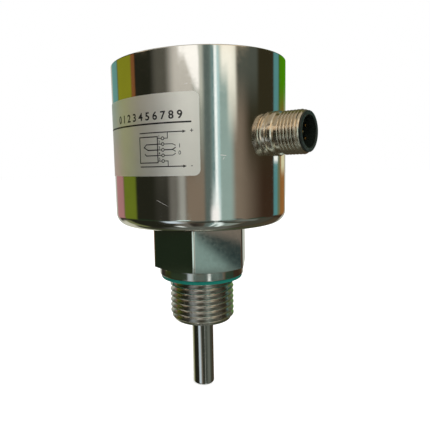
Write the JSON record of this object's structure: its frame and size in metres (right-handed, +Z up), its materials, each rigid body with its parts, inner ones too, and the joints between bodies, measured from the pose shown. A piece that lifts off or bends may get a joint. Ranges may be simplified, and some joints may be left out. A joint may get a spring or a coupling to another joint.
{
  "type": "flow switch",
  "caption": "Compact thermal flow switch: round steel housing on a hexagon pipe fitting with a thin dip probe, side cable connector, indicator window and setpoint plug.",
  "frame": {"origin": "centre of the sealing ring's lower face, where the process thread starts, on the thread's axis", "axes": "+Z up the housing, away from the probe; +X out along the cable connector"},
  "size_m": [0.0644, 0.0541, 0.1054],
  "materials": {
    "polished_steel": "polished stainless steel",
    "turned_steel": "turned stainless steel",
    "nickel_plated": "nickel-plated brass",
    "plug_steel": "turned stainless steel",
    "green_seal": "matt green elastomer",
    "black_rubber": "matt black elastomer",
    "black_plastic": "moulded black plastic",
    "faceplate_black": "printed dark plastic",
    "clear_window": "clear polycarbonate",
    "gold_contact": "gold-plated",
    "wire_insulation": "wire insulation",
    "label_film": "printed film",
    "board_laminate": "green solder mask on laminate",
    "brass_pillar": "turned brass",
    "sensing_ceramic": "ceramic chip",
    "filling_compound": "heat-conducting compound",
    "capacitor_sleeve": "printed sleeve",
    "ferrite": "wound ferrite drum",
    "chip_plastic": "moulded package",
    "lamp_red_lens": "tinted lens",
    "lamp_yellow_lens": "tinted lens",
    "lamp_green_lens": "tinted lens",
    "trimmer_blue": "moulded plastic",
    "trimmer_white": "moulded plastic",
    "relay_plastic": "moulded plastic",
    "bobbin_plastic": "moulded plastic",
    "copper_winding": "enamelled copper wire",
    "relay_iron": "plated soft iron",
    "contact_metal": "tinned bronze"
  },
  "bodies": {
    "root": {"housing_cup": "polished_steel", "process_fitting": "turned_steel", "sealing_ring": "green_seal", "probe_sheath": "turned_steel", "heated_element": "sensing_ceramic", "reference_element": "sensing_ceramic", "probe_filling": "filling_compound", "sensor_leads": "wire_insulation", "faceplate": "faceplate_black", "window_gasket": "black_rubber", "window_disc": "clear_window", "bezel_ring": "polished_steel", "plug_bushing": "nickel_plated", "bushing_nut": "nickel_plated", "connector_shell": "nickel_plated", "connector_insert": "black_plastic", "connector_nose": "black_plastic", "connector_pins": "gold_contact", "connector_oring": "black_rubber", "connector_wires": "wire_insulation", "label_foil": "label_film", "main_board": "board_laminate", "display_board": "board_laminate", "lower_standoffs": "brass_pillar", "upper_standoffs": "brass_pillar", "board_screws": "plug_steel", "supply_capacitors": "capacitor_sleeve", "supply_inductor": "ferrite", "voltage_regulator": "chip_plastic", "controller_chip": "chip_plastic", "ribbon_sockets": "black_plastic", "ribbon_cable": "wire_insulation", "lamp_red": "lamp_red_lens", "lamp_yellow": "lamp_yellow_lens", "lamp_green": "lamp_green_lens", "trimmer_body": "trimmer_blue", "relay_base": "relay_plastic", "relay_terminals": "contact_metal", "relay_cover": "relay_plastic", "relay_bobbin": "bobbin_plastic", "relay_coil": "copper_winding", "relay_yoke": "relay_iron", "relay_fixed_contacts": "contact_metal"},
    "plug_carrier": {"plug_oring": "black_rubber"},
    "plug": {"access_plug": "plug_steel"},
    "setpoint_rotor": {"trimmer_rotor": "trimmer_white"},
    "armature": {"relay_armature": "relay_iron", "relay_contact_spring": "contact_metal"}
  },
  "joints": [
    {"name": "plug_lift", "type": "slide", "parent": "root", "child": "plug_carrier", "axis": [0, 0, 1], "range_m": [0, 0.004]},
    {"name": "plug_turn", "type": "hinge", "parent": "plug_carrier", "child": "plug", "pos_m": [0, 0.007, 0.0656], "axis": [0, 0, 1], "range_deg": [0, 1440]},
    {"name": "setpoint_turn", "type": "hinge", "parent": "root", "child": "setpoint_rotor", "pos_m": [0, 0.007, 0.0596], "axis": [0, 0, 1], "range_deg": [-135, 135]},
    {"name": "armature_tilt", "type": "hinge", "parent": "root", "child": "armature", "pos_m": [0.00211, 0.0008, 0.03915], "axis": [0, -1, 0], "range_deg": [0, 4], "stiffness_Nm_per_rad": 0.02, "springref_deg": -5.73}
  ],
  "couplings": [
    {"joint": "plug_turn", "follows": "plug_lift", "rad_per_m": 6283.2}
  ]
}
